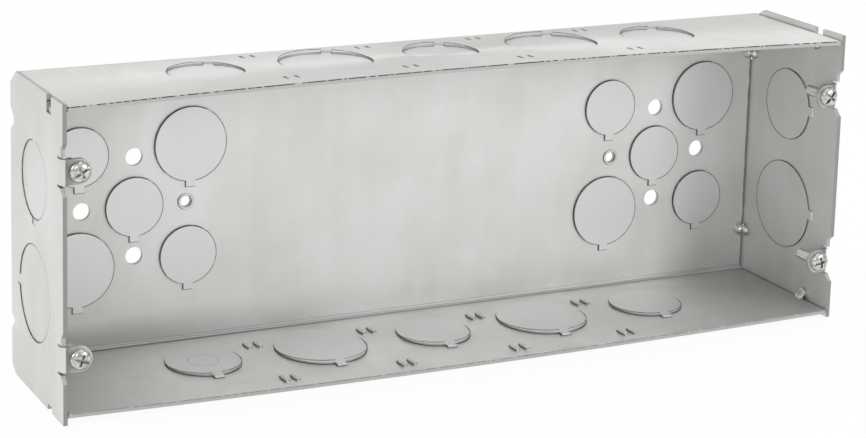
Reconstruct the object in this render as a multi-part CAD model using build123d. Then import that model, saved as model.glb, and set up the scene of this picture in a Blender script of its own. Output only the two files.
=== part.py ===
from build123d import *
import math
import os

# Five-gang switch box of galvanised sheet steel, in millimetres.
# X runs along the length, the open front faces -Y and Z is up.
# The origin is the middle of the outer face of the back wall.

# Sheet stock and the folded channel (back, top and bottom in one piece)
sheet = 1.6
channel_length = 317.1
channel_height = 111.1
depth = 61.0
bend_inside = 1.6
# The free front edges of the long walls spring outward at mid-length
top_bow = 2.2
bottom_bow = 1.6

# End plates: flat blanks, taller than the channel and tacked a little out of line
plate_lip = 1.8
plate_back_inset = 0.8
seam_gap = 0.2
left_plate_shift = -0.8
right_plate_shift = 0.3
top_corner_cut = (7.0, 4.8)
bottom_corner_cut = (4.8, 2.9)
edge_notch_width = 5.0
top_notch_depth = 6.5
bottom_notch_depth = 2.2
edge_notch_from_front = 15.1
# Torn back notches: height of the tip, reach above it, reach below it and depth
upper_back_notch = (38.6, 5.2, 3.6, 5.4)
lower_back_notch = (-37.2, 2.2, 3.2, 4.2)
back_notch_round = 1.2

# Ears folded inward from the end plates, one above and one below on each
ear_spacing = 67.3
ear_middle = -0.8
ear_width = 9.2
ear_recess = 2.2
ear_bend_inside = 0.8
left_ear_hole_inset = 6.9
right_ear_hole_inset = 5.3
ear_slot_above = 3.8
ear_slot_below = 1.5
relief_width = 0.9
relief_depth = 1.2

# Cover screws, number 8 machine screws with pan heads
screw_diameter = 4.17
screw_length = 12.7
head_diameter = 7.7
head_height = 2.4
head_rim = 1.1
head_slope = 1.2
thread_clearance = 0.05
drive_slot_width = 1.1
drive_slot_depth = 1.0

# Knockouts: a sheared slug pushed inward and held by one short tie
half_inch_knockout = 22.6
three_quarter_knockout = 28.6
one_inch_knockout = 35.3
shear_gap = 0.22
slug_push = 0.8
end_slug_push = 0.35
tie_width = 3.8
tie_length = 2.6
tie_ramp = 0.5
tie_lap = 0.6

# Knockout places on the back wall: two clusters of five
cluster_from_end = 45.55
back_tie_angle = -90
small_offset = (21.6, 20.9)
large_offset = (22.4, 22.3)

# Knockout rows on the long walls, small and large in turn
wall_knockout_pitch = 47.6
wall_knockout_count = 5
wall_knockout_from_back = 28.0
top_tie_angle = -65
bottom_tie_angle = -90

# Knockouts on the end plates
end_knockout_from_back = 28.4
end_upper_knockout = 22.7
end_lower_knockout = -19.1
left_tie_angles = (-90, 180)
right_tie_angles = (0, 0)

# Holes in the back wall
mounting_hole = 6.7
mounting_hole_spacing = 38.2
outer_hole_offset = 20.6
ground_hole = 4.2
ground_hole_offset = 20.6

# Pairs of nubs that guide a divider plate at each gang boundary
gang_pitch = 47.5
gang_count = 5
nub_pair_spacing = 4.3
nub_length = 5.6
nub_width = 2.4
nub_height = 0.9
nub_taper = 25
nub_lap = 0.2
nub_dent_length = 4.4
nub_dent_width = 1.4
nub_dent_depth = 1.0
top_nub_rows = (9.2, 50.5)
bottom_nub_rows = (17.9, 53.3)

# Tack welds: low buttons of melted steel in the inner corners
bead_radius = 2.5
bead_reach = 1.7
bead_taper = 20
bead_sides = 9
bead_inward = 1.0

# Values worked out from the sizes above
length = channel_length + 2 * (seam_gap + sheet)
plate_height = channel_height + 2 * plate_lip
cluster_middle = channel_length / 2 - cluster_from_end
bend_outside = bend_inside + sheet
ear_face = depth - ear_recess
ear_bend_outside = ear_bend_inside + sheet
edge_notch_middle = depth - edge_notch_from_front
through = 3 * sheet


def wall_rise(side, x, from_back):
    """How far the outer skin of a long wall stands proud of the flat channel."""
    bow = top_bow if side > 0 else bottom_bow
    along = 1 - (2 * x / channel_length) ** 2
    out = max(0.0, from_back - bend_outside) / (depth - bend_outside)
    return bow * along * out


def wall_plane(side, x, from_back):
    """Plane on the outer skin of the top (side 1) or bottom (side -1) wall, facing inward."""
    bow = top_bow if side > 0 else bottom_bow
    run = depth - bend_outside
    along = 1 - (2 * x / channel_length) ** 2
    slope_depth = bow * along / run
    slope_length = -8 * bow * x / channel_length**2 * (from_back - bend_outside) / run
    height = channel_height / 2 + wall_rise(side, x, from_back)
    outward = Vector(-slope_length, slope_depth, 1)
    inward = Vector(-outward.X, -outward.Y, -side * outward.Z)
    return Plane(origin=(x, -from_back, side * height), x_dir=(1, 0, 0), z_dir=inward)


def back_plane(x, z):
    """Plane on the outer skin of the back wall, facing inward with Y up."""
    return Plane(origin=(x, 0, z), x_dir=(1, 0, 0), z_dir=(0, -1, 0))


def plate_plane(shift):
    """Plane on the outer skin of the right end plate: X to the front, Y up, Z inward."""
    return Plane(origin=(length / 2, 0, shift), x_dir=(0, -1, 0), z_dir=(-1, 0, 0))


def long_wall(side):
    """Top or bottom wall, lofted so that its free edge bows outward at mid-length."""
    sections = []
    for x in (-channel_length / 2, 0, channel_length / 2):
        root = side * channel_height / 2
        edge = root + side * wall_rise(side, x, depth)
        corners = [
            (x, -bend_outside, root),
            (x, -depth, edge),
            (x, -depth, edge - side * sheet),
            (x, -bend_outside, root - side * sheet),
        ]
        sections.append(Face(Wire.make_polygon([Vector(*c) for c in corners], close=True)))
    return loft(sections)


def back_and_bends():
    """Back wall with the two bends, drawn as one section and drawn out along X."""
    half = channel_height / 2
    turn = half - bend_outside
    outline = [
        CenterArc((-bend_outside, turn), bend_outside, 0, 90),
        Line((0, turn), (0, -turn)),
        CenterArc((-bend_outside, -turn), bend_outside, 270, 90),
        Line((-bend_outside, -half), (-bend_outside, -half + sheet)),
        CenterArc((-bend_outside, -turn), bend_inside, 270, 90),
        Line((-sheet, -turn), (-sheet, turn)),
        CenterArc((-bend_outside, turn), bend_inside, 0, 90),
        Line((-bend_outside, half - sheet), (-bend_outside, half)),
    ]
    section = Plane.YZ * make_face(outline)
    return extrude(section, amount=channel_length / 2, both=True)


def knockout(plane, diameter, tie_angle, push=slug_push):
    """Hole to cut and slug to add for one knockout, its tie at an angle from local X."""
    radius = diameter / 2
    tie_end = radius + tie_length
    slot_width = tie_width + 2 * shear_gap
    hole = Pos(0, 0, sheet / 2) * Cylinder(radius + shear_gap, through)
    hole += Pos(tie_end / 2, 0, sheet / 2) * Box(tie_end, slot_width, through)
    slug = Pos(0, 0, push + sheet / 2) * Cylinder(radius, sheet)
    tongue = Polyline(
        (radius - tie_lap, push),
        (tie_end - tie_ramp, push),
        (tie_end, 0),
        (tie_end + tie_lap, 0),
        (tie_end + tie_lap, sheet),
        (tie_end, sheet),
        (tie_end - tie_ramp, sheet + push),
        (radius - tie_lap, sheet + push),
        close=True,
    )
    tie = extrude(Plane.XZ * make_face(tongue), amount=tie_width / 2, both=True)
    place = plane.location * Rot(0, 0, tie_angle)
    return place * hole, place * (slug + tie)


def nub(plane):
    """Dent to cut outside and bump to add inside for one divider nub, long along local Y."""
    foot = Rectangle(nub_width, nub_length)
    bump = Pos(0, 0, sheet - nub_lap) * extrude(foot, amount=nub_height + nub_lap, taper=nub_taper)
    dent = Box(nub_dent_width, nub_dent_length, 2 * nub_dent_depth)
    return plane.location * dent, plane.location * bump


def back_knockouts():
    """Ten knockouts of the back wall, each with its tie below."""
    small_x, small_z = small_offset
    large_x, large_z = large_offset
    pattern = [
        (0, 0, half_inch_knockout),
        (-small_x, small_z, half_inch_knockout),
        (small_x, -small_z, half_inch_knockout),
        (large_x, large_z, three_quarter_knockout),
        (-large_x, -large_z, three_quarter_knockout),
    ]
    tools = []
    for cluster in (-cluster_middle, cluster_middle):
        for x, z, diameter in pattern:
            tools.append(knockout(back_plane(cluster + x, z), diameter, back_tie_angle))
    return tools


def wall_knockouts(side):
    """Row of knockouts along a long wall, small and large in turn."""
    tie_angle = top_tie_angle if side > 0 else bottom_tie_angle
    tools = []
    for i in range(wall_knockout_count):
        x = (i - (wall_knockout_count - 1) / 2) * wall_knockout_pitch
        diameter = three_quarter_knockout if i % 2 == 0 else one_inch_knockout
        tools.append(knockout(wall_plane(side, x, wall_knockout_from_back), diameter, tie_angle))
    return tools


def divider_nubs(side):
    """Nub pairs on one long wall, two at every gang boundary."""
    rows = top_nub_rows if side > 0 else bottom_nub_rows
    tools = []
    for i in range(gang_count - 1):
        boundary = (i - (gang_count - 2) / 2) * gang_pitch
        for row in rows:
            for x in (boundary - nub_pair_spacing / 2, boundary + nub_pair_spacing / 2):
                tools.append(nub(wall_plane(side, x, row)))
    return tools


def punched(blank, tools):
    """Blank with every cut made first and every raised part joined on after."""
    cuts = [cut for cut, _ in tools]
    raised = [part for _, part in tools]
    return blank - cuts + raised


def punched_back(blank):
    """Back wall and bends with their knockouts, mounting holes and ground screw holes."""
    wall = punched(blank, back_knockouts())
    bore = Pos(0, 0, sheet / 2) * Cylinder(ground_hole / 2, through)
    clearance = Pos(0, 0, sheet / 2) * Cylinder(mounting_hole / 2, through)
    holes = []
    for side in (-1, 1):
        cluster = side * cluster_middle
        ground = back_plane(cluster - side * ground_hole_offset, 0).location
        holes.append(ground * bore)
        for x, z in (
            (cluster, mounting_hole_spacing / 2),
            (cluster, -mounting_hole_spacing / 2),
            (cluster + side * outer_hole_offset, 0),
        ):
            holes.append(back_plane(x, z).location * clearance)
    return wall - holes


def box_channel():
    """Folded channel: the punched back wall with a punched long wall above and below."""
    top = punched(long_wall(1), wall_knockouts(1) + divider_nubs(1))
    bottom = punched(long_wall(-1), wall_knockouts(-1) + divider_nubs(-1))
    return punched_back(back_and_bends()) + [top, bottom]


def plate_blank():
    """Outline of an end plate: front to the right (+X), middle of the plate at zero."""
    half = plate_height / 2
    back = plate_back_inset
    outline = Pos((back + depth) / 2, 0) * Rectangle(depth - back, plate_height)
    for toward, (run, rise), notch_depth in (
        (1, top_corner_cut, top_notch_depth),
        (-1, bottom_corner_cut, bottom_notch_depth),
    ):
        corner = toward * half
        cut = Polyline((back, corner), (back + run, corner), (back, corner - toward * rise), close=True)
        outline -= make_face(cut)
        notch = Rectangle(edge_notch_width, 2 * notch_depth)
        outline -= Pos(edge_notch_middle, corner) * notch
    for height, above, below, notch_depth in (upper_back_notch, lower_back_notch):
        notch = Polyline(
            (back, height + above),
            (back + notch_depth, height),
            (back, height - below),
            close=True,
        )
        tip = make_face(notch).vertices().sort_by(Axis.X)[-1]
        outline -= fillet(tip, back_notch_round)
    for ear in ear_heights():
        top = ear + ear_width / 2 + ear_slot_above
        bottom = ear - ear_width / 2 - ear_slot_below
        slot = Polyline(
            (depth, top + ear_recess),
            (ear_face, top),
            (ear_face, bottom),
            (depth, bottom - ear_recess),
            close=True,
        )
        outline -= make_face(slot)
        relief = ear_width + 2 * relief_width
        behind = ear_face - ear_bend_outside - relief_depth
        outline -= Pos((behind + ear_face) / 2, ear) * Rectangle(ear_face - behind, relief)
        outline += Pos(behind + relief_depth / 2, ear) * Rectangle(relief_depth, ear_width)
    return outline


def ear_heights():
    """Heights of the two ears from the middle of the plate."""
    return (ear_middle + ear_spacing / 2, ear_middle - ear_spacing / 2)


def folded_ear(height, inset):
    """One ear on the right end plate: bend, flat and round end with a tapped hole."""
    face = -ear_face
    outer = length / 2
    tip = outer - inset - ear_width / 2
    turn_y = face + ear_bend_outside
    turn_x = outer - ear_bend_outside
    section = [
        Line((outer, turn_y), (outer - sheet, turn_y)),
        CenterArc((turn_x, turn_y), ear_bend_inside, 270, 90),
        Line((turn_x, face + sheet), (tip, face + sheet)),
        Line((tip, face + sheet), (tip, face)),
        Line((tip, face), (turn_x, face)),
        CenterArc((turn_x, turn_y), ear_bend_outside, 270, 90),
    ]
    strip = Pos(0, 0, height) * extrude(make_face(section), amount=ear_width / 2, both=True)
    hole_x = outer - inset
    flat = Pos((hole_x + outer) / 2, height) * Rectangle(inset, ear_width)
    flat += Pos(hole_x, height) * Circle(ear_width / 2)
    flat -= Pos(hole_x, height) * Circle(screw_diameter / 2 + thread_clearance)
    window = extrude(Plane.XZ * flat, amount=depth)
    return strip & window


def flat_plate(shift):
    """Right end plate before its ears and knockouts."""
    return extrude(plate_plane(shift) * plate_blank(), amount=sheet)


def end_plate(side, shift, tie_angles, inset):
    """End plate with two ears and two knockouts; the left one is the mirror of the right."""
    plane = plate_plane(shift)
    plate = flat_plate(shift) + [folded_ear(shift + ear, inset) for ear in ear_heights()]
    for height, diameter, tie in (
        (end_upper_knockout, three_quarter_knockout, tie_angles[0]),
        (end_lower_knockout, one_inch_knockout, tie_angles[1]),
    ):
        place = plane * Pos(end_knockout_from_back, height)
        cut, slug = knockout(Plane(place), diameter, tie, end_slug_push)
        plate = plate - cut + slug
    return plate if side > 0 else mirror(plate, about=Plane.YZ)


def cover_screw(side, shift, ear, inset):
    """Pan-head machine screw seated on the face of an ear."""
    radius = screw_diameter / 2
    head = head_diameter / 2
    profile = Polyline(
        (0, head_height),
        (0, -screw_length),
        (radius, -screw_length),
        (radius, 0),
        (head, 0),
        (head, head_rim),
        (head - head_slope, head_height),
        close=True,
    )
    screw = revolve(Plane.XZ * make_face(profile), axis=Axis.Z)
    slot_middle = head_height - drive_slot_depth / 2
    screw -= Pos(0, 0, slot_middle) * Box(head_diameter, drive_slot_width, drive_slot_depth)
    x = side * (length / 2 - inset)
    seat = Plane(origin=(x, -ear_face, shift + ear), x_dir=(1, 0, 0), z_dir=(0, -1, 0))
    return seat.location * screw


def tack_welds(side, shift):
    """Four beads in the inner corners, at the notches of one end plate."""
    half_bead = extrude(RegularPolygon(bead_radius, bead_sides), amount=bead_reach, taper=bead_taper)
    bead = Rot(0, 90, 0) * (half_bead + mirror(half_bead, about=Plane.XY))
    neighbours = [back_and_bends(), long_wall(1), long_wall(-1), flat_plate(shift)]
    middle = channel_length / 2 + seam_gap - bead_inward
    inner_height = channel_height / 2 - sheet - bead_inward
    inner_depth = -sheet - bead_inward
    spots = [
        Pos(middle, -edge_notch_middle, inner_height),
        Pos(middle, -edge_notch_middle, -inner_height),
        Pos(middle, inner_depth, shift + upper_back_notch[0]),
        Pos(middle, inner_depth, shift + lower_back_notch[0]),
    ]
    beads = [(spot * bead - neighbours).solids().sort_by(SortBy.VOLUME)[-1] for spot in spots]
    welds = Compound(children=beads)
    return welds if side > 0 else mirror(welds, about=Plane.YZ)


def main():
    """Build every piece and write one STEP file for each."""
    os.makedirs("parts", exist_ok=True)
    channel = box_channel()
    left = end_plate(-1, left_plate_shift, left_tie_angles, left_ear_hole_inset)
    right = end_plate(1, right_plate_shift, right_tie_angles, right_ear_hole_inset)
    pieces = {"box_channel": channel, "left_end_plate": left, "right_end_plate": right}
    pieces["left_tack_welds"] = tack_welds(-1, left_plate_shift)
    pieces["right_tack_welds"] = tack_welds(1, right_plate_shift)
    upper, lower = ear_heights()
    for side, name, shift, inset in (
        (-1, "left", left_plate_shift, left_ear_hole_inset),
        (1, "right", right_plate_shift, right_ear_hole_inset),
    ):
        pieces[f"upper_{name}_cover_screw"] = cover_screw(side, shift, upper, inset)
        pieces[f"lower_{name}_cover_screw"] = cover_screw(side, shift, lower, inset)
    for name, piece in pieces.items():
        export_step(piece, f"parts/{name}.step")


main()
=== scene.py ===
"""Dresses the five-gang electrical box: galvanised sheet, zinc-plated screws and tack welds.

Lengths are millimetres in the box's own frame: X along the box, the open front towards -Y, Z up, and
the origin in the middle of the outer back face. The studio and the camera are in metres.
"""

from __future__ import annotations

import logging
import math
from dataclasses import dataclass, field
from enum import Enum
from functools import cached_property
from typing import Sequence

import bmesh
import bpy
from bmesh.types import BMesh
from bpy.types import Material, NodeSocket as Socket, Object, World
from mathutils import Matrix, Vector, noise

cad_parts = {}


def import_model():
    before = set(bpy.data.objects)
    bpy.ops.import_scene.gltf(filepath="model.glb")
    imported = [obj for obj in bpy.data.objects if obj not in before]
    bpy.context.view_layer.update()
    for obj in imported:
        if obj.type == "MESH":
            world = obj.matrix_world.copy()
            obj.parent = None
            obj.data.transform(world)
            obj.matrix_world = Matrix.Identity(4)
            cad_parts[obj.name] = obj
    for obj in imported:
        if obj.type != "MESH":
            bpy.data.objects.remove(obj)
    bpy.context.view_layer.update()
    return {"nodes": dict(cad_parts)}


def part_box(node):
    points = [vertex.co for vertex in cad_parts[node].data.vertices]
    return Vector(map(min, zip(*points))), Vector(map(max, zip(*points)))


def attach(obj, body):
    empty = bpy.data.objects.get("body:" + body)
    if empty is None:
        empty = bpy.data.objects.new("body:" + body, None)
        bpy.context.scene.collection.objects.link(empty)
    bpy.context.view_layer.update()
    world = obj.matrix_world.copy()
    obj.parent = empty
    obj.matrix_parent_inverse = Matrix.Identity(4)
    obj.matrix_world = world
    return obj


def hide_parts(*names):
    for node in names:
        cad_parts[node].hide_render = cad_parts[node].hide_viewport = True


LOG = logging.getLogger("five_gang_box")
MM = 0.001
MERGE_DISTANCE = 0.001
Pair = tuple[float, float]
Triple = tuple[float, float, float]


class Side(Enum):
    """End of the box a piece belongs to."""

    LEFT = -1
    RIGHT = 1


class Wall(Enum):
    """Long wall of the folded channel."""

    TOP = 1
    BOTTOM = -1


class SheetPart(Enum):
    """Kind of sheet surface, by the name of its material."""

    CHANNEL = "galvanised_rolled_steel_sheet"
    PLATE = "galvanised_end_plate_steel"
    STAMPED = "galvanised_stamped_forms"


@dataclass(frozen=True)
class BoxSizes:
    """Sizes of the CAD box that the masks and the added pieces follow."""

    sheet: float = 1.6
    half_length: float = 158.55
    root_height: float = 55.55
    depth: float = 61.0
    bend: float = 3.2
    top_bow: float = 2.2
    bottom_bow: float = 1.6
    plate_outside: float = 160.35
    slug_push: float = 0.8
    end_slug_push: float = 0.35

    @property
    def plate_inside(self) -> float:
        """Reach of the end plates' inner skins from mid-length."""
        return self.plate_outside - self.sheet

    @property
    def run(self) -> float:
        """Flat stretch of a long wall, from the bend to its free edge."""
        return self.depth - self.bend

    def bow(self, wall: Wall) -> float:
        """How far a long wall's free edge bows outward at mid-length."""
        return self.top_bow if wall is Wall.TOP else self.bottom_bow

    def slope(self, wall: Wall, x: float) -> float:
        """Rise of a long wall towards its free edge, at a place along the box."""
        return self.bow(wall) * (1 - (x / self.half_length) ** 2) / self.run

    def skin_height(self, wall: Wall, x: float, from_back: float) -> float:
        """Height of a long wall's inner skin above mid-height."""
        return self.root_height - self.sheet + self.slope(wall, x) * (from_back - self.bend)


SIZES = BoxSizes()


# Helpers


def linear(hex_colour: str) -> tuple[float, float, float, float]:
    """Turn an sRGB hex colour into Blender's linear values.

    Args:
        hex_colour: six hex digits with a leading hash.

    Returns:
        Red, green, blue and a full alpha, linear.
    """
    digits = hex_colour.lstrip("#")
    channels = [int(digits[i : i + 2], 16) / 255 for i in (0, 2, 4)]
    red, green, blue = (c / 12.92 if c <= 0.04045 else ((c + 0.055) / 1.055) ** 2.4 for c in channels)
    return red, green, blue, 1.0


def linked(name: str, shape: BMesh) -> Object:
    """Turn a bmesh into an object of the scene.

    Args:
        name: object name.
        shape: shape, which is freed here.

    Returns:
        The linked object.
    """
    data = bpy.data.meshes.new(name)
    shape.to_mesh(data)
    shape.free()
    piece = bpy.data.objects.new(name, data)
    bpy.context.scene.collection.objects.link(piece)
    return piece


def finished(name: str, mesh: BMesh, materials: Sequence[Material]) -> Object:
    """Make an object at the origin from a bmesh whose sizes are millimetres.

    Args:
        name: object name.
        mesh: shape, which is freed here.
        materials: material slots in order.

    Returns:
        The linked object.
    """
    bmesh.ops.scale(mesh, vec=(MM, MM, MM), verts=mesh.verts)
    bmesh.ops.recalc_face_normals(mesh, faces=mesh.faces)
    piece = linked(name, mesh)
    piece.data.shade_smooth()
    for material in materials:
        piece.data.materials.append(material)
    return piece


def copy_into(target: BMesh, source: BMesh, place: Matrix) -> None:
    """Join a placed copy of one bmesh into another.

    Args:
        target: bmesh that grows.
        source: bmesh to copy, left as it is.
        place: where the copy goes.
    """
    holder = bpy.data.meshes.new("copy_holder")
    source.to_mesh(holder)
    holder.transform(place)
    target.from_mesh(holder)
    bpy.data.meshes.remove(holder)


def spun(
    shape: BMesh,
    outline: Sequence[Vector],
    steps: int,
    turns: float = 1.0,
    climb: float = 0.0,
    axis: Triple = (0, 0, 1),
    middle: Sequence[float] = (0, 0, 0),
) -> None:
    """Spin an outline round an axis inside a bmesh.

    Args:
        shape: bmesh that grows.
        outline: points to join in order.
        steps: number of steps.
        turns: how many times it goes round, 1 for a closed shape.
        climb: rise of each step along Z.
        axis: direction of the axis.
        middle: a point on the axis.
    """
    verts = [shape.verts.new(point) for point in outline]
    edges = [shape.edges.new(pair) for pair in zip(verts, verts[1:])]
    bmesh.ops.spin(
        shape,
        geom=verts + edges,
        cent=middle,
        axis=axis,
        dvec=(0, 0, climb),
        angle=math.tau * turns,
        steps=steps,
        use_merge=turns == 1.0,
    )


class Nodes:
    """Node tree of a new material or world.

    Attributes:
        owner: the material or world.
        tree: its node tree.
    """

    def __init__(self, owner: Material | World) -> None:
        """Start with no nodes.

        Args:
            owner: material or world that the nodes belong to.
        """
        self.owner = owner
        owner.use_nodes = True
        self.tree = owner.node_tree
        self.tree.nodes.clear()

    def add(self, kind: str, *values: object, output: int | str = 0, **named: object) -> Socket | None:
        """Add one node with its settings and links.

        Args:
            kind: Blender's node type after "ShaderNode", and after a colon its operation or data type.
            *values: values of the first inputs, in order.
            output: place or name of the output to give back.
            **named: further inputs by name with underscores for spaces, or in6, in7 for a place.
                A socket is linked, a hex colour is turned linear, and any other value is set.

        Returns:
            The chosen output, or None where the node has none.
        """
        name, _, variant = kind.partition(":")
        node = self.tree.nodes.new(f"ShaderNode{name}")
        if variant:
            setattr(node, "data_type" if name == "Mix" else "operation", variant)
        for key, value in [*((f"in{i}", value) for i, value in enumerate(values)), *named.items()]:
            by_place = key.startswith("in") and key[2:].isdigit()
            socket = node.inputs[int(key[2:]) if by_place else key.replace("_", " ")]
            if isinstance(value, Socket):
                self.tree.links.new(value, socket)
            else:
                socket.default_value = linear(value) if isinstance(value, str) else value
        return node.outputs[output] if node.outputs else None


class Shader(Nodes):
    """Nodes of one new material, with the formulas that the finishes share."""

    def __init__(self, name: str) -> None:
        """Start an empty material.

        Args:
            name: the material's name.
        """
        super().__init__(bpy.data.materials.new(name))

    @cached_property
    def place(self) -> Socket:
        """Object coordinates in metres."""
        return self.add("TexCoord", output="Object")

    @cached_property
    def x(self) -> Socket:
        """Place along the box in millimetres."""
        return self.add("Math:MULTIPLY", self.add("SeparateXYZ", self.place, output=0), 1 / MM)

    @cached_property
    def y(self) -> Socket:
        """Place from the outer back face in millimetres, negative inside the box."""
        return self.add("Math:MULTIPLY", self.add("SeparateXYZ", self.place, output=1), 1 / MM)

    @cached_property
    def z(self) -> Socket:
        """Height above the middle of the box in millimetres."""
        return self.add("Math:MULTIPLY", self.add("SeparateXYZ", self.place, output=2), 1 / MM)

    def facing(self) -> list[Socket]:
        """Size of each part of the surface's direction."""
        normal = self.add("TexCoord", output="Normal")
        return [self.add("Math:ABSOLUTE", self.add("SeparateXYZ", normal, output=i)) for i in range(3)]

    def product(self, first: Socket, *others: float | Socket) -> Socket:
        """Multiply any number of values."""
        for other in others:
            first = self.add("Math:MULTIPLY", first, other)
        return first

    def any_of(self, first: Socket, *others: Socket) -> Socket:
        """Add masks up and cap the sum at 1."""
        for other in others:
            first = self.add("Math:ADD", first, other)
        return self.add("Math:MINIMUM", first, 1.0)

    def share(self, value: Socket, start: float, stop: float) -> Socket:
        """How far a value has come from start (0) to stop (1), past both too."""
        return self.add("Math:DIVIDE", self.add("Math:SUBTRACT", value, start), stop - start)

    def cells(self, *sizes: float) -> Socket:
        """Coordinates that count cells of a size in millimetres along each axis."""
        return self.add("Mapping", self.place, Scale=[1 / (size * MM) for size in sizes])

    def along(self) -> Socket:
        """Share of the long walls' full bow at a spot's place along the box."""
        ratio = self.add("Math:DIVIDE", self.x, SIZES.half_length)
        return self.add("Math:SUBTRACT", 1.0, self.add("Math:MULTIPLY", ratio, ratio))

    def swell(self) -> Socket:
        """Share of the full bow at a spot, which also grows from the bend to the free edge."""
        return self.product(self.along(), self.share(self.y, -SIZES.bend, -SIZES.depth))

    def metal(self, colour: Socket, roughness: float | Socket, **named: object) -> Material:
        """Close the tree with a metal surface.

        Args:
            colour: base colour.
            roughness: roughness.
            **named: other inputs of the Principled node.

        Returns:
            The finished material.
        """
        surface = self.add("BsdfPrincipled", Base_Color=colour, Roughness=roughness, **named)
        self.add("OutputMaterial", Surface=surface)
        return self.owner


# Finishes


@dataclass(frozen=True)
class SpottedMetal:
    """Metal whose tone wanders between two greys over a fine grain."""

    name: str
    tone: str
    spots: str
    grain: float
    spread: Pair
    roughness: float | Pair
    detail: float = 3.0
    bump: Pair | None = None

    def make(self) -> Material:
        """Build the material.

        Returns:
            The finished material.
        """
        shader = Shader(self.name)
        grain = shader.add("TexNoise", shader.place, Scale=1 / (self.grain * MM), Detail=self.detail)
        amount = shader.add("MapRange", grain, *self.spread)
        colour = shader.add("Mix:RGBA", amount, in6=self.tone, in7=self.spots, output=2)
        rough = self.roughness
        if isinstance(rough, tuple):
            rough = shader.add("MapRange", grain, 0.0, 1.0, *rough)
        relief = {}
        if self.bump:
            strength, distance = self.bump
            relief["Normal"] = shader.add(
                "Bump", Height=grain, Strength=strength, Distance=distance * MM
            )
        return shader.metal(colour, rough, Metallic=1.0, **relief)


# Machine-screw steel with bright zinc plating, a little scuffed
SCREW_ZINC = SpottedMetal(
    "bright_zinc_plated_steel", "#d6d6d2", "#9c9b96", 1.4, (0.45, 0.75), (0.14, 0.32), bump=(0.2, 0.05)
)
# The same plating, darker as painted shade in the punched recess and in the corner under the head
RECESS_SHADE_ZINC = SpottedMetal(
    "zinc_in_punched_recess", "#c0c0bd", "#8c8c89", 1.4, (0.45, 0.75), (0.24, 0.42), bump=(0.2, 0.05)
)
# Steel sheared by the knockout punch, dark with brighter nicks: partly the bare burnished steel, partly
# painted shade of the shear gap
SHEARED_STEEL_AND_GAP_SHADE = SpottedMetal(
    "punch_sheared_bare_steel", "#6a6a68", "#b0b0ad", 2.6, (0.5, 0.72), 0.55, detail=2.0
)
# Weld metal frozen in lumps, grey where it burnt and bright where it is clean
WELD_METAL = SpottedMetal(
    "resistance_weld_metal", "#b4b3b0", "#f0f0ee", 1.6, (0.42, 0.6), 0.22, detail=4.0, bump=(0.6, 0.3)
)


@dataclass(frozen=True)
class Layer:
    """A tone laid over part of the sheet as painted shade; each kind of layer says where."""

    tone: str = "#6e6e6b"

    def amount(self, shader: Shader) -> Socket:
        """Share of the tone at a spot, which each kind of layer works out."""
        raise NotImplementedError

    def lay(self, shader: Shader, colour: str | Socket) -> Socket:
        """Lay the tone over the colour so far."""
        return shader.add("Mix:RGBA", self.amount(shader), in6=colour, in7=self.tone, output=2)


@dataclass(frozen=True)
class BendAndSeamShade(Layer):
    """Painted shade inside the channel's two bends, and along its welded ends where they meet the plates."""

    bend_depth: Pair = (-2.5, 1.0)
    bend_height: Pair = (53.3, 0.95)
    bend_share: float = 0.45
    seam_shade_from: float = 157.2
    seam_shade_wander: float = 1.4
    scorch_grain: float = 8.33333
    seam_shade_share: float = 0.8

    def amount(self, shader: Shader) -> Socket:
        """Find where the tone lies.

        Args:
            shader: nodes of the sheet's material.

        Returns:
            Share of the tone at a spot.
        """
        inside = shader.add("Math:COMPARE", shader.y, *self.bend_depth)
        bent = shader.add("Math:COMPARE", shader.add("Math:ABSOLUTE", shader.z), *self.bend_height)
        bend_shade = shader.product(inside, bent, self.bend_share)
        wander = shader.add("TexNoise", shader.place, Scale=1 / (self.scorch_grain * MM), Detail=3.0)
        edge = shader.add("Math:MULTIPLY_ADD", wander, self.seam_shade_wander, self.seam_shade_from)
        ends = shader.add("Math:GREATER_THAN", shader.add("Math:ABSOLUTE", shader.x), edge)
        return shader.add("Math:MAXIMUM", bend_shade, shader.product(ends, self.seam_shade_share))


@dataclass(frozen=True)
class BottomEndsAndLeftBandShade(Layer):
    """Painted shade at the ends of the bottom wall, by its left bend and at the back wall's left end."""

    most: float = 0.5
    floor_ends: Pair = (112.0, 162.0)
    floor_below: float = -50.0
    floor_clear_of_back: float = -3.0
    floor_share: float = 0.46
    back_skin: Pair = (-2.5, 1.6)
    band_leftward: Pair = (0.0, -100.0)
    band_downward: Pair = (-41.0, -52.0)
    band_share: float = 0.5
    end_leftward: Pair = (-105.0, -155.0)
    end_share: float = 0.2

    def amount(self, shader: Shader) -> Socket:
        """Find where the tone lies.

        Args:
            shader: nodes of the sheet's material.

        Returns:
            Share of the tone at a spot.
        """
        ends = shader.share(shader.add("Math:ABSOLUTE", shader.x), *self.floor_ends)
        low = shader.add("Math:LESS_THAN", shader.z, self.floor_below)
        clear = shader.add("Math:LESS_THAN", shader.y, self.floor_clear_of_back)
        floor = shader.product(low, clear, ends, self.floor_share)
        skin = shader.add("Math:COMPARE", shader.y, *self.back_skin)
        leftward = shader.add("Math:MAXIMUM", shader.share(shader.x, *self.band_leftward), 0.0)
        downward = shader.add("Math:MAXIMUM", shader.share(shader.z, *self.band_downward), 0.0)
        band = shader.product(leftward, downward, skin, self.band_share)
        end = shader.product(shader.share(shader.x, *self.end_leftward), skin, self.end_share)
        amount = shader.add("Math:MAXIMUM", shader.add("Math:MAXIMUM", floor, band), end)
        return shader.add("Clamp", amount, 0.0, self.most)


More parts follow.
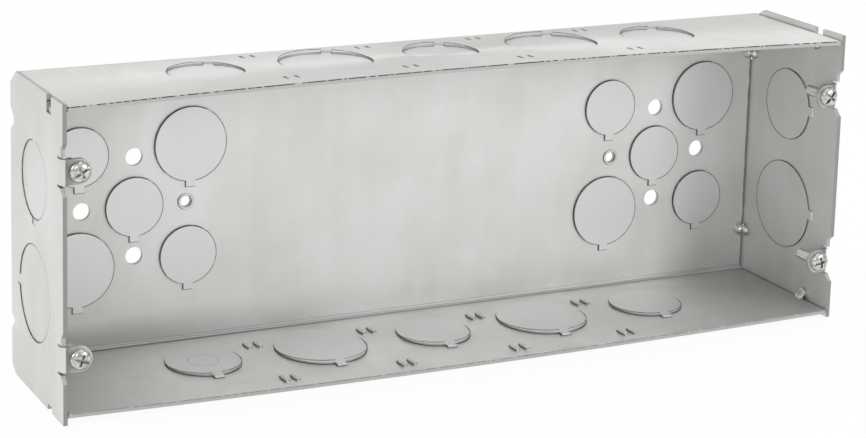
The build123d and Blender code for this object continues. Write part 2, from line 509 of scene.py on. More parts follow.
@dataclass(frozen=True)
class EarShade(Layer):
    """Folded ears of the end plates, darkened in patches as painted shade."""

    tone: str = "#80807d"
    reach: Pair = (152.5, 158.0)
    fade: Pair = (0.25, 1.0)
    grain: float = 3.84615
    wander: Pair = (0.8, 0.45)
    inside_reach: float = 158.6
    front_of: float = -57.0

    def amount(self, shader: Shader) -> Socket:
        """Find where the tone lies.

        Args:
            shader: nodes of the sheet's material.

        Returns:
            Share of the tone at a spot.
        """
        reach = shader.add("Math:ABSOLUTE", shader.x)
        fade = shader.add("MapRange", reach, *self.reach, *self.fade)
        patches = shader.add("TexNoise", shader.place, Scale=1 / (self.grain * MM), Detail=3.0)
        patchy_ear_shade = shader.add("Math:MULTIPLY_ADD", patches, *self.wander)
        folded = shader.add("Math:LESS_THAN", reach, self.inside_reach)
        front = shader.add("Math:LESS_THAN", shader.y, self.front_of)
        return shader.product(fade, patchy_ear_shade, folded, front)


@dataclass(frozen=True)
class FlankShade(Layer):
    """Steep flanks of the stamped forms, darkened as painted shade."""

    up_limit: float = 0.7
    along_limit: float = 0.8
    share: float = 0.85

    def amount(self, shader: Shader) -> Socket:
        """Find where the tone lies.

        Args:
            shader: nodes of the sheet's material.

        Returns:
            Share of the tone at a spot.
        """
        _, along, up = shader.facing()
        steep = shader.add("Math:LESS_THAN", up, self.up_limit)
        beside = shader.add("Math:LESS_THAN", along, self.along_limit)
        return shader.product(steep, beside, self.share)


@dataclass(frozen=True)
class PressedRingShade(Layer):
    """Faint ring pressed into the first slug of the bottom wall, its groove's shade painted as a grey line.
    """

    tone: str = "#a4a4a4"
    middle: Pair = (-95.2, -28.0)
    radius: float = 5.8
    half_width: float = 0.2
    below: float = -50.0
    share: float = 0.55

    def amount(self, shader: Shader) -> Socket:
        """Find where the tone lies.

        Args:
            shader: nodes of the sheet's material.

        Returns:
            Share of the tone at a spot.
        """
        squares = [
            shader.add("Math:POWER", shader.add("Math:SUBTRACT", part, middle), 2.0)
            for part, middle in zip((shader.x, shader.y), self.middle)
        ]
        reach = shader.add("Math:SQRT", shader.add("Math:ADD", *squares))
        ring = shader.add("Math:COMPARE", reach, self.radius, self.half_width)
        low = shader.add("Math:LESS_THAN", shader.z, self.below)
        return shader.product(ring, low, self.share)


@dataclass(frozen=True)
class CutEdges:
    """Cut edges of the sheet: faces square to the sheet they belong to."""

    sheared: str = "#bababa"
    # Painted shade at the foot of the sheared gaps
    gap_foot_shade: str = "#444442"
    front: str = "#bcbcba"
    plate_front: str = "#9a9a97"
    dash: str = "#4a4a48"
    squareness: Triple = (0.2, 0.55, 0.97)
    flat_half: float = 50.5
    front_y: float = -60.7
    plate_slack: float = 0.1
    burr: float = 0.42
    foot: float = 0.22
    dash_grain: Triple = (1.25, math.inf, 16.66667)
    dash_gaps: float = 0.44
    # Share of the painted shade line at the seam with the plates, on the front edges
    plate_seam_shade: float = 0.6
    bottom_dash: float = 0.4

    def on_plate(self, shader: Shader) -> Socket:
        """Mask of the end plates."""
        reach = shader.add("Math:ABSOLUTE", shader.x)
        return shader.add("Math:GREATER_THAN", reach, SIZES.plate_inside - self.plate_slack)

    def mask(self, shader: Shader) -> Socket:
        """Mask of the cut edges, 0 on the sheet's skins.

        Args:
            shader: nodes of the sheet's material.

        Returns:
            1 on a cut edge, 0 elsewhere.
        """
        across = [
            shader.add("Math:LESS_THAN", part, limit)
            for part, limit in zip(shader.facing(), self.squareness)
        ]
        on_plate = self.on_plate(shader)
        off_plate = shader.add("Math:SUBTRACT", 1.0, on_plate)
        in_front = shader.add("Math:LESS_THAN", shader.y, -SIZES.bend)
        behind = shader.add("Math:SUBTRACT", 1.0, in_front)
        high = shader.add("Math:GREATER_THAN", shader.add("Math:ABSOLUTE", shader.z), self.flat_half)
        low = shader.add("Math:SUBTRACT", 1.0, high)
        return shader.any_of(
            shader.product(on_plate, across[0]),
            shader.product(in_front, high, across[2], off_plate),
            shader.product(behind, low, across[1], off_plate),
        )

    def front_colour(self, shader: Shader) -> Socket:
        """Tone of the front edges: light, with broken dark dashes along the burr and a painted shade line at
        the seams with the plates.

        Args:
            shader: nodes of the sheet's material.

        Returns:
            The front edges' colour.
        """
        along = shader.along()
        top_skin = shader.add("Math:MULTIPLY_ADD", along, SIZES.top_bow, SIZES.root_height)
        floor = SIZES.sheet - SIZES.root_height
        bottom_skin = shader.add("Math:MULTIPLY_ADD", along, -SIZES.bottom_bow, floor)
        near_top = shader.add("Math:COMPARE", shader.z, top_skin, self.burr)
        near_bottom = shader.add("Math:COMPARE", shader.z, bottom_skin, self.burr)
        near_bottom = shader.product(near_bottom, self.bottom_dash)
        broken = shader.add("TexNoise", shader.cells(*self.dash_grain), Scale=1.0, Detail=3.0)
        gaps = shader.add("Math:GREATER_THAN", broken, self.dash_gaps)
        dashes = shader.product(shader.add("Math:ADD", near_top, near_bottom), gaps)
        reach = shader.add("Math:ABSOLUTE", shader.x)
        near_plate = shader.add("Math:COMPARE", reach, SIZES.plate_inside, self.burr)
        dashes = shader.any_of(dashes, shader.product(near_plate, self.plate_seam_shade))
        front = shader.add("Mix:RGBA", dashes, in6=self.front, in7=self.dash, output=2)
        return shader.add("Mix:RGBA", self.on_plate(shader), in6=front, in7=self.plate_front, output=2)

    def colour(self, shader: Shader) -> Socket:
        """Tone of the cut edges, with painted shade at the foot of the sheared gaps.

        Args:
            shader: nodes of the sheet's material.

        Returns:
            The cut edges' colour.
        """
        in_front = shader.share(shader.y, -SIZES.bend, self.front_y)
        swell = shader.product(shader.along(), in_front)
        feet = [shader.add("Math:COMPARE", shader.y, -SIZES.sheet, self.foot)]
        for wall in Wall:
            skin = shader.add("Math:MULTIPLY_ADD", swell, SIZES.bow(wall), SIZES.root_height - SIZES.sheet)
            level = shader.add("Math:MULTIPLY", shader.z, float(wall.value))
            feet.append(shader.add("Math:COMPARE", level, skin, self.foot))
        sheared = shader.add("Mix:RGBA", shader.any_of(*feet), in6=self.sheared, in7=self.gap_foot_shade, output=2)
        in_front = shader.add("Math:LESS_THAN", shader.y, self.front_y)
        return shader.add("Mix:RGBA", in_front, in6=sheared, in7=self.front_colour(shader), output=2)


@dataclass(frozen=True)
class SlugMask:
    """Tells the knockout slugs from the sheet round them by how deep they are pushed in."""

    band: float = 0.3

    def build(self, shader: Shader) -> Socket:
        """Add the nodes of the mask, 1 on a slug and 0 elsewhere.

        Args:
            shader: nodes of the sheet's material.

        Returns:
            1 on a slug, 0 elsewhere.
        """
        depths = (SIZES.slug_push, SIZES.slug_push + SIZES.sheet)
        found = [shader.add("Math:COMPARE", shader.y, -depth, self.band) for depth in depths]
        swell = shader.swell()
        on_wall = shader.add("Math:LESS_THAN", shader.y, -SIZES.bend)
        for wall in Wall:
            skin = shader.add("Math:MULTIPLY_ADD", swell, SIZES.bow(wall), SIZES.root_height)
            level = shader.add("Math:MULTIPLY", shader.z, float(wall.value))
            sunk = shader.add("Math:SUBTRACT", skin, level)
            found += [
                shader.product(shader.add("Math:COMPARE", sunk, depth, self.band), on_wall)
                for depth in depths
            ]
        return shader.any_of(*found)


@dataclass(frozen=True)
class GalvanisedSheet:
    """Cold-rolled steel sheet with a dull zinc coat: rolling lines, soft clouds and a satin sheen."""

    bright: str = "#e3e3e2"
    shade: str = "#dadad6"
    slug: str = "#dfdfe0"
    roughness: Pair = (0.43, 0.59)
    metallic: float = 0.8
    anisotropy: float = 0.35
    cloud_grain: float = 38.0
    streak_grain: Triple = (9.0, 9.0, 55.5556)
    # Real rolling lines are finer; these are as coarse as they need to show
    line_grain: Triple = (0.55, 0.55, 28.0)
    streak_share: float = 0.25
    mottle_spread: Pair = (0.4, 0.6)
    bump: Pair = (0.25, 0.04)

    def make(self, part: SheetPart) -> Material:
        """Build the material of one kind of sheet surface.

        Args:
            part: kind of surface.

        Returns:
            The finished material.
        """
        shader = Shader(part.value)
        lines = shader.add("TexNoise", shader.cells(*self.line_grain), Scale=1.0, Detail=4.0, Roughness=0.6)
        clouds = shader.add("TexNoise", shader.place, Scale=1 / (self.cloud_grain * MM), Detail=3.0)
        streaks = shader.add("TexNoise", shader.cells(*self.streak_grain), Scale=1.0, Detail=3.0)
        calm = shader.product(clouds, 1 - self.streak_share)
        mottle = shader.add("Math:MULTIPLY_ADD", streaks, self.streak_share, calm)
        mottle = shader.add("MapRange", mottle, *self.mottle_spread)
        colour = shader.add("Mix:RGBA", mottle, in6=self.shade, in7=self.bright, output=2)
        # The layers paint shade: in the channel's bends and along its seams, at the bottom wall's ends and
        # by its left bend, on the first bottom slug's pressed ring, on the plates' ears and on the stamped
        # forms' flanks
        if part is SheetPart.CHANNEL:
            colour = BottomEndsAndLeftBandShade().lay(shader, BendAndSeamShade().lay(shader, colour))
            slugs = PressedRingShade().lay(shader, self.slug)
            colour = shader.add("Mix:RGBA", SlugMask().build(shader), in6=colour, in7=slugs, output=2)
        elif part is SheetPart.PLATE:
            colour = EarShade().lay(shader, colour)
        else:
            colour = FlankShade().lay(shader, colour)
        if part is not SheetPart.STAMPED:
            cut = CutEdges()
            colour = shader.add("Mix:RGBA", cut.mask(shader), in6=colour, in7=cut.colour(shader), output=2)
        strength, distance = self.bump
        relief = shader.add("Bump", Height=lines, Strength=strength, Distance=distance * MM)
        return shader.metal(
            colour,
            shader.add("MapRange", lines, 0.0, 1.0, *self.roughness),
            Normal=relief,
            Metallic=self.metallic,
            Anisotropic=self.anisotropy,
        )


# Pieces


@dataclass
class CoverScrew:
    """Number 8 pan-head machine screw with a combined slot and cross recess.

    Shares are of the head's radius, of its height, of its rim's height or of the thread's pitch.
    """

    side: Side
    middle_x: float
    height: float
    turn: float
    seat_y: float = -58.8
    head_radius: float = 3.85
    head_height: float = 2.4
    rim_share: float = 0.34
    foot_share: float = 0.35
    seat_share: float = 0.97
    flat_share: float = 0.22
    crown_steps: int = 8
    shank_length: float = 12.7
    root_radius: float = 1.62
    crest_radius: float = 2.07
    pitch: float = 0.79
    tip_chamfer: float = 0.5
    tip_share: float = 0.7
    core_top: float = 0.2
    thread_start: float = 0.7
    thread_ends: float = 1.0
    ridge_sink: float = 0.05
    ridge_share: float = 0.46
    crest_half: float = 0.06
    slot_reach: float = 2.4
    slot: Pair = (1.0, 1.0)
    cross: Triple = (4.4, 0.95, 1.7)
    round_steps: int = 48
    thread_steps: int = 24
    sharp_angle: float = 50.0
    rounding: float = 0.07
    recess_depth: float = 0.22
    recess_reach: float = 0.93
    corner_share: float = 0.36

    @property
    def rim(self) -> float:
        """Height where the crown starts."""
        return self.head_height * self.rim_share

    def head(self) -> BMesh:
        """Spin the pan head's outline round its axis, seat at zero and crown up.

        Returns:
            The closed head.
        """
        shape = bmesh.new()
        radius, rim = self.head_radius, self.rim
        outline = [
            (self.root_radius, 0.0),
            (radius * self.seat_share, 0.0),
            (radius, rim * self.foot_share),
            (radius, rim),
        ]
        for i in range(1, self.crown_steps + 1):
            angle = math.radians(90 * i / self.crown_steps)
            reach = radius * (self.flat_share + (1 - self.flat_share) * math.cos(angle))
            outline.append((reach, rim + (self.head_height - rim) * math.sin(angle)))
        outline.append((0.0, self.head_height))
        spun(shape, [Vector((reach, 0, height)) for reach, height in outline], self.round_steps)
        bmesh.ops.remove_doubles(shape, verts=shape.verts, dist=MERGE_DISTANCE)
        bmesh.ops.holes_fill(shape, edges=[edge for edge in shape.edges if edge.is_boundary])
        bmesh.ops.recalc_face_normals(shape, faces=shape.faces)
        return shape

    def cutter(self, length: float, width: float, depth: float) -> BMesh:
        """Make one bar that cuts a slot in the crown.

        Args:
            length: length of the bar.
            width: width of the bar.
            depth: how deep it cuts.

        Returns:
            The bar.
        """
        bar = bmesh.new()
        bmesh.ops.create_cube(bar, size=1.0)
        bmesh.ops.scale(bar, vec=(length, width, 2 * depth), verts=bar.verts)
        bmesh.ops.translate(bar, vec=(0, 0, self.head_height), verts=bar.verts)
        return bar

    def recessed_head(self) -> BMesh:
        """Cut the slot and the cross into the head and round its sharp edges.

        Returns:
            The head, its recess and the corner under it in the second material, which paints their shade.
        """
        head = linked("head_blank", self.head())
        length, width, depth = self.cross
        right_through = self.slot_reach * self.head_radius
        cutters = [
            linked("slot_cutter", self.cutter(right_through, *self.slot)),
            linked("cross_cutter_a", self.cutter(length, width, depth)),
            linked("cross_cutter_b", self.cutter(width, length, depth)),
        ]
        for cutter in cutters:
            change = head.modifiers.new("cut", "BOOLEAN")
            change.operation = "DIFFERENCE"
            change.solver = "EXACT"
            change.object = cutter
        result = bmesh.new()
        result.from_object(head, bpy.context.evaluated_depsgraph_get())
        for blank in [head, *cutters]:
            data = blank.data
            bpy.data.objects.remove(blank)
            bpy.data.meshes.remove(data)
        # Faces in the recess and in the corner under the head take the second material: painted shade
        for face in result.faces:
            face.material_index = int(self.in_recess(face.calc_center_median()))
        limit = math.radians(self.sharp_angle)
        sharp = [edge for edge in result.edges if edge.is_manifold and edge.calc_face_angle() > limit]
        bmesh.ops.bevel(
            result,
            geom=sharp,
            offset=self.rounding,
            segments=2,
            profile=0.5,
            affect="EDGES",
            material=-1,
            clamp_overlap=True,
        )
        return result

    def in_recess(self, spot: Vector) -> bool:
        """Tell whether a spot lies in the slot or cross, or in the shadowed corner under the head.

        Args:
            spot: middle of a face.

        Returns:
            True there.
        """
        reach = math.hypot(spot.x, spot.y)
        share = (reach / self.head_radius - self.flat_share) / (1 - self.flat_share)
        share = min(max(share, 0.0), 1.0)
        crown = self.rim + (self.head_height - self.rim) * math.sqrt(1 - share * share)
        inside = reach < self.recess_reach * self.head_radius or spot.z < self.rim * self.corner_share
        return spot.z < crown - self.recess_depth and inside

    def shank(self) -> BMesh:
        """Core of the thread with a chamfered tip, and one helical ridge spun round it.

        Returns:
            The shank below the seat.
        """
        shape = bmesh.new()
        tip = -self.shank_length
        root = self.root_radius
        chamfer = [(root, tip + self.tip_chamfer), (root * self.tip_share, tip), (0.0, tip)]
        core = [(root, self.core_top), *chamfer]
        spun(shape, [Vector((reach, 0, height)) for reach, height in core], self.round_steps)
        bmesh.ops.remove_doubles(shape, verts=shape.verts, dist=MERGE_DISTANCE)
        turns = (self.shank_length - self.thread_ends) / self.pitch
        steps = int(turns * self.thread_steps)
        foot, half, crest = root - self.ridge_sink, self.pitch * self.ridge_share, self.crest_half
        ridge = [(foot, half), (self.crest_radius, crest), (self.crest_radius, -crest), (foot, -half)]
        start = tip + self.thread_start
        points = [Vector((reach, 0, start + height)) for reach, height in ridge]
        spun(shape, points, steps, turns, climb=turns * self.pitch / steps)
        return shape

    def build(self, material: Material, shadowed: Material) -> Object:
        """Make the screw and stand it for its CAD node.

        Args:
            material: screw finish.
            shadowed: finish of the recess and of the corner under the head.

        Returns:
            The finished screw.
        """
        shape = self.recessed_head()
        shank = self.shank()
        copy_into(shape, shank, Matrix.Identity(4))
        shank.free()
        level = "upper" if self.height > 0 else "lower"
        node = f"{level}_{self.side.name.lower()}_cover_screw"
        outward = Matrix.Rotation(math.radians(90), 4, "X") @ Matrix.Rotation(self.turn, 4, "Z")
        seat = Matrix.Translation((self.side.value * self.middle_x, self.seat_y, self.height))
        bmesh.ops.transform(shape, matrix=seat @ outward, verts=shape.verts)
        piece = finished(f"detailed_{node}", shape, [material, shadowed])
        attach(piece, "root")
        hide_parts(node)
        return piece


@dataclass
class TackWelds:
    """Four lumps of weld metal in the notches of one end plate."""

    side: Side
    plate_shift: float
    middle_x: float = 157.75
    edge_y: float = -45.9
    edge_z: float = 52.95
    back_y: float = -2.6
    back_heights: Pair = (38.6, -37.2)
    radii: Triple = (1.9, 2.3, 2.4)
    lobes: tuple[Pair, ...] = ((-1.5, -0.2), (0.55, 1.6))
    waves: tuple[Pair, ...] = ((0.16, 2.2), (0.08, 6))
    seed_step: Triple = (7.3, 3.1, 5.7)
    side_seed: int = 11
    fineness: int = 4
    smoothing: float = 0.3

    def lump(self, seed: int) -> BMesh:
        """One uneven button, its surface pushed about by smooth noise.

        Args:
            seed: picks the part of the noise that shapes it.

        Returns:
            The lump round the origin.
        """
        shape = bmesh.new()
        bmesh.ops.create_icosphere(shape, subdivisions=self.fineness, radius=1.0)
        shift = Vector([seed * step for step in self.seed_step])
        for vert in shape.verts:
            vert.co *= 1 - sum(size * abs(noise.noise(vert.co * rate + shift)) for size, rate in self.waves)
        bmesh.ops.scale(shape, vec=self.radii, verts=shape.verts)
        axes = {"use_axis_x": True, "use_axis_y": True, "use_axis_z": True}
        bmesh.ops.smooth_vert(shape, verts=shape.verts, factor=self.smoothing, **axes)
        return shape

    def build(self, material: Material) -> Object:
        """Make the four beads as one piece that stands for the plate's weld node.

        Args:
            material: weld finish.

        Returns:
            The finished beads.
        """
        x = self.side.value * self.middle_x
        spots = [(x, self.edge_y, self.edge_z), (x, self.edge_y, -self.edge_z)]
        spots += [(x, self.back_y, self.plate_shift + height) for height in self.back_heights]
        inwards = [(0, 0, -1), (0, 0, 1), (0, -1, 0), (0, -1, 0)]
        shape = bmesh.new()
        for i, (spot, inward) in enumerate(zip(spots, inwards)):
            for lobe, (out, rise) in enumerate(self.lobes):
                lump = self.lump(2 * i + lobe + self.side_seed * self.side.value)
                place = Vector(spot) + Vector((self.side.value * out, 0, 0)) + rise * Vector(inward)
                copy_into(shape, lump, Matrix.Translation(place))
                lump.free()
        name = self.side.name.lower()
        piece = finished(f"{name}_weld_beads", shape, [material])
        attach(piece, "root")
        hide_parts(f"{name}_tack_welds")
        return piece


@dataclass
class DividerNubs:
    """Smooth oval skins over the stamped nubs that guide divider plates."""

    pitch: float = 47.5
    pair_spacing: float = 4.3
    gangs: int = 5
    steps: tuple[int, int] = (20, 12)
    radii: Triple = (1.55, 3.5, 1.25)
    rows: dict[Wall, Pair] = field(
        default_factory=lambda: {Wall.TOP: (9.2, 50.5), Wall.BOTTOM: (17.9, 53.3)}
    )

    def build(self, material: Material) -> Object:
        """Make all nubs as one piece on the channel.

        Args:
            material: finish of the raised forms.

        Returns:
            The finished piece.
        """
        nub = bmesh.new()
        around, across = self.steps
        bmesh.ops.create_uvsphere(nub, u_segments=around, v_segments=across, radius=1.0)
        bmesh.ops.scale(nub, vec=self.radii, verts=nub.verts)
        shape = bmesh.new()
        for wall, rows in self.rows.items():
            for i in range(self.gangs - 1):
                boundary = (i - (self.gangs - 2) / 2) * self.pitch
                for row in rows:
                    for offset in (-self.pair_spacing / 2, self.pair_spacing / 2):
                        x = boundary + offset
                        z = wall.value * SIZES.skin_height(wall, x, row)
                        copy_into(shape, nub, Matrix.Translation((x, -row, z)))
        nub.free()
        piece = finished("divider_nub_skins", shape, [material])
        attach(piece, "root")
        return piece


@dataclass(frozen=True)
class Knockout:
    """Place of one knockout: middle of its slug's inner face, the inward direction and the tie's angle."""

    middle: Triple
    inward: Triple
    diameter: float
    tie_angle: float
    push: float = SIZES.slug_push


@dataclass
class ShearAndGapShadeLines:
    """Dark rims round the knockout slugs as hair-thin rings: partly the burnished edge where the punch
    sheared them, partly painted shade of the shear gap.
    """

    half_inch: float = 22.6
    three_quarter: float = 28.6
    one_inch: float = 35.3
    cluster_middle: float = 113.0
    back_tie: float = -90
    small_offset: Pair = (21.6, 20.9)
    large_offset: Pair = (22.4, 22.3)
    wall_count: int = 5
    wall_pitch: float = 47.6
    wall_from_back: float = 28.0
    wall_ties: tuple[tuple[Wall, float], ...] = ((Wall.TOP, -65), (Wall.BOTTOM, -90))
    end_from_back: float = 28.4
    end_heights: Pair = (22.7, -19.1)
    tie_width: float = 3.8
    line_radius: float = 0.13
    outer_depth: float = 0.15
    ring_steps: int = 96

    def back(self) -> list[Knockout]:
        """Ten knockouts of the back wall.

        Returns:
            Their places.
        """
        small_x, small_z = self.small_offset
        large_x, large_z = self.large_offset
        pattern = [
            (0, 0, self.half_inch),
            (-small_x, small_z, self.half_inch),
            (small_x, -small_z, self.half_inch),
            (large_x, large_z, self.three_quarter),
            (-large_x, -large_z, self.three_quarter),
        ]
        depth = -SIZES.sheet - SIZES.slug_push
        return [
            Knockout((cluster + x, depth, z), (0, -1, 0), diameter, self.back_tie)
            for cluster in (-self.cluster_middle, self.cluster_middle)
            for x, z, diameter in pattern
        ]

    def walls(self) -> list[Knockout]:
        """Five knockouts of the top wall and five of the bottom wall, small and large in turn.

        Returns:
            Their places.
        """
        found = []
        for wall, tie in self.wall_ties:
            for i in range(self.wall_count):
                x = (i - self.wall_count // 2) * self.wall_pitch
                height = SIZES.skin_height(wall, x, self.wall_from_back) - SIZES.slug_push
                inward = (0, SIZES.slope(wall, x), -wall.value)
                diameter = self.three_quarter if i % 2 == 0 else self.one_inch
                found.append(Knockout((x, -self.wall_from_back, wall.value * height), inward, diameter, tie))
        return found

    def ends(self, side: Side, shift: float) -> list[Knockout]:
        """Two knockouts of one end plate, whose middle stands at a height.

        Args:
            side: end of the box.
            shift: height of the plate's middle.

        Returns:
            Their places.
        """
        x = side.value * (SIZES.plate_inside - SIZES.end_slug_push)
        inward = (-side.value, 0, 0)
        ties = (-90, 180) if side is Side.LEFT else (0, 0)
        diameters = (self.three_quarter, self.one_inch)
        return [
            Knockout((x, -self.end_from_back, shift + height), inward, diameter, tie, SIZES.end_slug_push)
            for height, diameter, tie in zip(self.end_heights, diameters, ties)
        ]

    def ring(self, knockout: Knockout) -> BMesh:
        """Sweep one thin line round a slug's rim, open at the tie.

        Args:
            knockout: the slug.

        Returns:
            The line round the origin.
        """
        shape = bmesh.new()
        radius = knockout.diameter / 2
        half_gap = math.asin(self.tie_width / 2 / radius)
        bmesh.ops.create_circle(shape, cap_ends=True, segments=6, radius=self.line_radius)
        bmesh.ops.rotate(shape, matrix=Matrix.Rotation(math.radians(90), 3, "X"), verts=shape.verts)
        bmesh.ops.translate(shape, vec=(radius, 0, 0), verts=shape.verts)
        bmesh.ops.rotate(shape, matrix=Matrix.Rotation(half_gap, 3, "Z"), verts=shape.verts)
        bmesh.ops.spin(
            shape,
            geom=shape.verts[:] + shape.edges[:] + shape.faces[:],
            cent=(0, 0, 0),
            axis=(0, 0, 1),
            angle=math.tau - 2 * half_gap,
            steps=self.ring_steps,
            use_merge=False,
        )
        return shape

    def build(self, shifts: dict[Side, float], material: Material) -> Object:
        """Make the rims of all knockouts as one piece.

        Args:
            shifts: height of each end plate's middle.
            material: tone of the sheared rim and of the painted gap shade.

        Returns:
            The finished piece.
        """
        places = self.back() + self.walls()
        for side, shift in shifts.items():
            places += self.ends(side, shift)
        shape = bmesh.new()
        for knockout in places:
            inward = Vector(knockout.inward).normalized()
            on_end = knockout.inward[0] != 0
            along = Vector((0, -1, 0)) if on_end else Vector((1, 0, 0))
            up = inward.cross(along).normalized()
            turn = Matrix((along, up, inward)).transposed().to_4x4()
            spin = Matrix.Rotation(math.radians(knockout.tie_angle), 4, "Z")
            ring = self.ring(knockout)
            for depth in (0.0, SIZES.sheet + knockout.push - self.outer_depth):
                place = Matrix.Translation(Vector(knockout.middle) - depth * inward)
                copy_into(shape, ring, place @ turn @ spin)
            ring.free()
        piece = finished("knockout_shear_lines", shape, [material])
        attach(piece, "root")
        return piece


@dataclass
class GroundCollars:
    """Drawn collars round the two tapped ground screw holes, inside the back wall."""

    middle_x: float = 92.4
    inner_radius: float = 2.1
    outer_radius: float = 3.3
    wall_y: float = -1.6
    rise: float = 0.6
    sink: float = 0.1
    lip_steps: int = 6
    round_steps: int = 40

    def build(self, material: Material) -> Object:
        """Spin a small rounded lip round each hole.

        Args:
            material: finish of the raised forms.

        Returns:
            The finished piece.
        """
        shape = bmesh.new()
        half = (self.outer_radius - self.inner_radius) / 2
        for side in Side:
            middle = Vector((side.value * self.middle_x, self.wall_y, 0))
            outline = []
            for i in range(self.lip_steps + 1):
                angle = math.radians(180 * i / self.lip_steps)
                reach = self.inner_radius + half - half * math.cos(angle)
                raised = self.sink - (self.rise + self.sink) * math.sin(angle)
                outline.append(middle + Vector((reach, raised, 0)))
            spun(shape, outline, self.round_steps, axis=(0, 1, 0), middle=middle)
        bmesh.ops.remove_doubles(shape, verts=shape.verts, dist=MERGE_DISTANCE)
        piece = finished("ground_hole_collars", shape, [material])
        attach(piece, "root")
        return piece


@dataclass
class SheetMetal:
    """Dresses the folded channel and the two end plates, whose CAD shapes stay."""

    finish: GalvanisedSheet = GalvanisedSheet()

    def dress(self, nodes: dict[str, Object]) -> Material:
        """Put the sheet's materials on the CAD nodes.

        Args:
            nodes: CAD nodes by name.

        Returns:
            The material of the raised forms on the channel.
        """
        channel = self.finish.make(SheetPart.CHANNEL)
        plate = self.finish.make(SheetPart.PLATE)
        for name in ("box_channel", "left_end_plate", "right_end_plate"):
            for slot in nodes[name].material_slots:
                slot.material = channel if name == "box_channel" else plate
        return self.finish.make(SheetPart.STAMPED)


# Studio and camera


@dataclass(frozen=True)
class SoftLamp:
    """One large soft lamp of the studio, aimed at the box."""

    name: str
    place: Triple
    size: float
    power: float

    def build(self) -> None:
        """Add the lamp and turn it to the box."""
        data = bpy.data.lights.new(self.name, "AREA")
        data.shape = "DISK"
        data.size = self.size
        data.energy = self.power
        lamp = bpy.data.objects.new(self.name, data)
        lamp.location = self.place
        lamp.rotation_euler = (-Vector(self.place)).to_track_quat("-Z", "Y").to_euler()
        bpy.context.scene.collection.objects.link(lamp)


@dataclass
class Studio:
    """Pale floor, white surround and soft lamps."""

    floor_z: float
    floor_size: float = 12.0
    floor_colour: str = "#f4f4f4"
    floor_seen: float = 0.93
    floor_gloss: float = 0.7
    horizon: float = 0.4
    overhead: float = 0.85
    overhead_from: float = 0.7
    lamps: tuple[SoftLamp, ...] = (
        SoftLamp("key_lamp", (1.05, -1.6, 0.6), 0.6, 8.7),
        SoftLamp("front_lamp", (-0.7, -1.5, 0.7), 0.6, 1.8),
        SoftLamp("top_lamp", (0.3, 0.2, 1.8), 1.4, 9.0),
        SoftLamp("left_lamp", (-1.7, 0.1, 0.9), 1.0, 6.0),
    )

    def floor(self) -> None:
        """Wide white floor that keeps a faint shadow of the box and stays bright in its reflections."""
        shape = bmesh.new()
        bmesh.ops.create_grid(shape, x_segments=1, y_segments=1, size=self.floor_size)
        bmesh.ops.translate(shape, vec=(0, 0, self.floor_z), verts=shape.verts)
        floor = linked("studio_floor", shape)
        nodes = Nodes(bpy.data.materials.new("seamless_paper_floor"))
        paper = nodes.add("BsdfDiffuse", Color=self.floor_colour)
        glow = nodes.add("Emission", Color="#ffffff", Strength=1.0)
        camera = nodes.add("LightPath", output="Is Camera Ray")
        glossy = nodes.add("LightPath", output="Is Glossy Ray")
        direct = nodes.add("Math:MULTIPLY", camera, self.floor_seen)
        seen = nodes.add("Math:MULTIPLY_ADD", glossy, self.floor_gloss, direct)
        nodes.add("OutputMaterial", Surface=nodes.add("MixShader", seen, paper, glow))
        floor.data.materials.append(nodes.owner)

    def world(self) -> None:
        """White surround for the camera; the box sees a dimmer horizon under a bright overhead."""
        nodes = Nodes(bpy.data.worlds.new("white_studio"))
        bpy.context.scene.world = nodes.owner
        direction = nodes.add("TexCoord", output="Generated")
        height = nodes.add("SeparateXYZ", direction, output=2)
        sky = nodes.add("MapRange", height, 0.0, self.overhead_from, self.horizon, self.overhead)
        camera = nodes.add("LightPath", output="Is Camera Ray")
        strength = nodes.add("MapRange", camera, 0.0, 1.0, sky, 1.0)
        nodes.add("OutputWorld", Surface=nodes.add("Background", Color="#ffffff", Strength=strength))

    def build(self) -> None:
        """Set up floor, surround and lamps."""
        self.floor()
        self.world()
        for lamp in self.lamps:
            lamp.build()


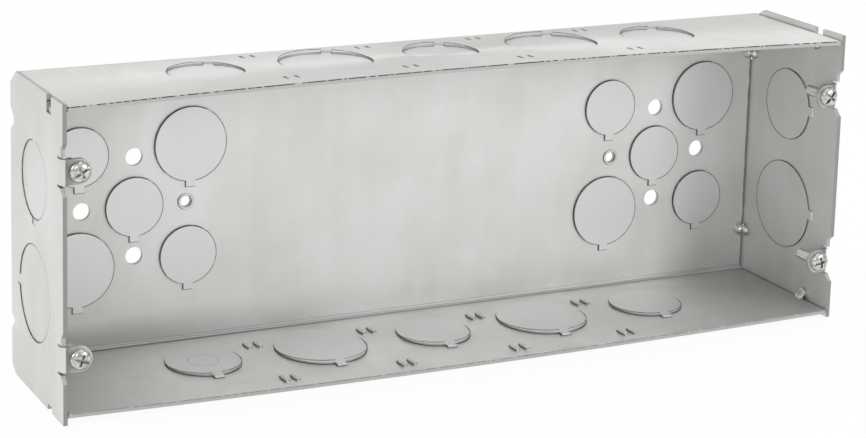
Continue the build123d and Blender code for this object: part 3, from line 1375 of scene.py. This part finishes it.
@dataclass
class PhotoCamera:
    """Camera at the photograph's viewing angle; sizes of the frame are in its pixels."""

    place: Triple = (-0.40124, -0.79747, 0.24575)
    right: Triple = (0.922093, -0.386786, 0.011859)
    down: Triple = (-0.061207, -0.176040, -0.982478)
    forward: Triple = (0.382097, 0.905211, -0.186000)
    frame: tuple[int, int] = (866, 438)
    focal_px: float = 2348.43
    axis_px: Pair = (254.49, -17.75)
    sensor_mm: float = 36.0
    nearest: float = 0.05

    def build(self) -> None:
        """Create the camera and make it the scene's own."""
        data = bpy.data.cameras.new("photo_camera")
        wide, tall = self.frame
        data.sensor_fit = "HORIZONTAL"
        data.sensor_width = self.sensor_mm
        data.lens = self.focal_px * self.sensor_mm / wide
        data.shift_x = (wide / 2 - self.axis_px[0]) / wide
        data.shift_y = (self.axis_px[1] - tall / 2) / wide
        data.clip_start = self.nearest
        camera = bpy.data.objects.new("photo_camera", data)
        right, up, back = Vector(self.right), -Vector(self.down), -Vector(self.forward)
        turn = Matrix((right, up, back)).transposed().to_4x4()
        camera.matrix_world = Matrix.Translation(self.place) @ turn
        bpy.context.scene.collection.objects.link(camera)
        bpy.context.scene.camera = camera


@dataclass(frozen=True)
class PlateFit:
    """How one end plate was tacked on: its height, its ears' reach and the turn of its two screws."""

    side: Side
    shift: float
    ear_reach: float
    screw_turns: Pair


PLATES = (PlateFit(Side.LEFT, -0.8, 153.45, (0.5, -0.35)), PlateFit(Side.RIGHT, 0.3, 155.05, (0.9, 0.2)))
EAR_HEIGHTS = (32.85, -34.45)


def main() -> None:
    """Load the frame, dress the box piece by piece and set the studio."""
    logging.basicConfig(level=logging.INFO, format="%(name)s: %(message)s")
    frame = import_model()
    bpy.context.scene.view_settings.view_transform = "Standard"
    raised_forms = SheetMetal().dress(frame["nodes"])
    LOG.info("sheet metal dressed")
    zinc, recess = SCREW_ZINC.make(), RECESS_SHADE_ZINC.make()
    for plate in PLATES:
        for ear, turn in zip(EAR_HEIGHTS, plate.screw_turns):
            screw = CoverScrew(plate.side, plate.ear_reach, plate.shift + ear, turn).build(zinc, recess)
            LOG.info("built %s", screw.name)
    weld = WELD_METAL.make()
    for plate in PLATES:
        beads = TackWelds(plate.side, plate.shift).build(weld)
        LOG.info("built %s", beads.name)
    rims = ShearAndGapShadeLines().build({plate.side: plate.shift for plate in PLATES}, SHEARED_STEEL_AND_GAP_SHADE.make())
    LOG.info("built %s", rims.name)
    for maker in (DividerNubs(), GroundCollars()):
        piece = maker.build(raised_forms)
        LOG.info("built %s", piece.name)
    low = min(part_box(name)[0][2] for name in frame["nodes"])
    Studio(floor_z=low).build()
    PhotoCamera().build()


if __name__ == "__main__":
    main()
